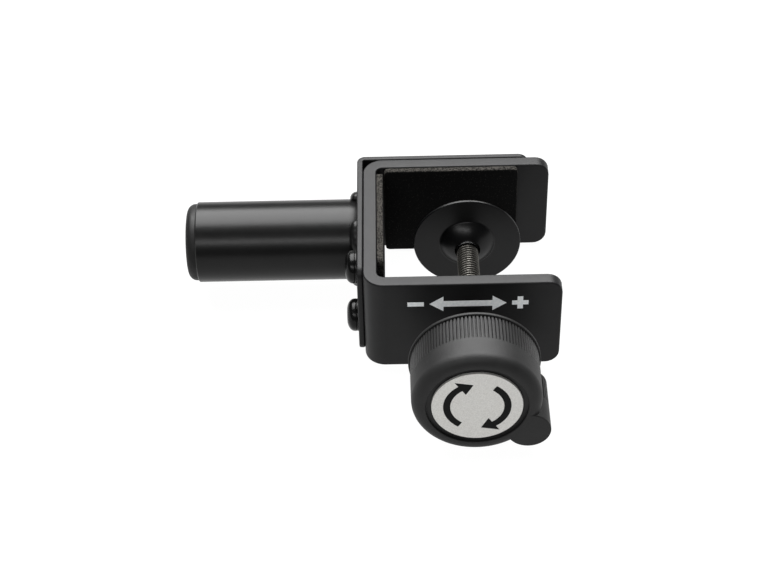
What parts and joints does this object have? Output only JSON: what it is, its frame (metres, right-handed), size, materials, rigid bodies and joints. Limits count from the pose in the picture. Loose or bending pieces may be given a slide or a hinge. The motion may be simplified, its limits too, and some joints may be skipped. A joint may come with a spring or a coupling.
{
  "type": "pipe clamp",
  "caption": "C-bracket clamp with a hand-screwed swivelling pressure disc, padded throat and a round spigot tube standing off the web.",
  "frame": {"origin": "on the spigot tube's axis at the toe of its weld, where a receiver pushed over the spigot stops, 3 mm from the mount plate", "axes": "-X out along the spigot, +X into the clamp's throat, +Y along the clamp screw from the knob towards the fixed jaw, +Z across the width of the bar"},
  "size_m": [0.1359, 0.1136, 0.0462],
  "materials": {
    "bracket_coat": "satin black powder coat",
    "tube_coat": "semi-gloss black powder coat",
    "weld_coat": "satin black over weld bead",
    "plug_plastic": "moulded, matte",
    "pad_foam": "closed-cell foam, skin face, cut edges",
    "fastener_black": "gloss black plated",
    "screw_oxide": "black oxide, oiled",
    "bright_steel": "zinc plated",
    "disc_coat": "satin black on pressed sheet",
    "seat_nylon": "black nylon",
    "knob_plastic": "fine moulded texture",
    "inlay_silver": "satin silver"
  },
  "bodies": {
    "clamp_frame": {"clamp_bracket": "bracket_coat", "mount_plate": "bracket_coat", "spigot_tube": "tube_coat", "tube_weld_beads": "weld_coat", "tube_end_plug": "plug_plastic", "web_pad": "pad_foam", "jaw_pad": "pad_foam", "mount_screws": "fastener_black", "mount_washers": "fastener_black", "screw_nut": "bright_steel", "nut_weld_beads": "weld_coat"},
    "feed_collar": {"neck_washer": "bright_steel"},
    "spindle": {"clamp_screw": "screw_oxide", "screw_tip": "bright_steel", "knob_body": "knob_plastic", "knob_back_plate": "knob_plastic", "knob_inlay": "inlay_silver", "knob_lock_nut": "bright_steel"},
    "swivel_seat": {"ball_seat": "seat_nylon"},
    "foot": {"pressure_disc": "disc_coat", "thrust_plate": "bright_steel", "pressure_pad": "pad_foam"}
  },
  "joints": [
    {"name": "spindle_feed", "type": "slide", "parent": "clamp_frame", "child": "feed_collar", "axis": [0, 1, 0], "range_m": [-0.02751, 0.01401]},
    {"name": "spindle_turn", "type": "hinge", "parent": "feed_collar", "child": "spindle", "pos_m": [0.0436, -0.0085, 0], "axis": [0, 1, 0], "range_deg": [-7920, 4032]},
    {"name": "foot_nod", "type": "hinge", "parent": "feed_collar", "child": "swivel_seat", "pos_m": [0.0436, -0.0021, 0], "axis": [1, 0, 0], "range_deg": [-5, 5]},
    {"name": "foot_swing", "type": "hinge", "parent": "swivel_seat", "child": "foot", "pos_m": [0.0436, -0.0021, 0], "axis": [0, 0, 1], "range_deg": [-5, 5]}
  ],
  "couplings": [
    {"joint": "spindle_feed", "follows": "spindle_turn", "m_per_rad": 0.00019894}
  ]
}
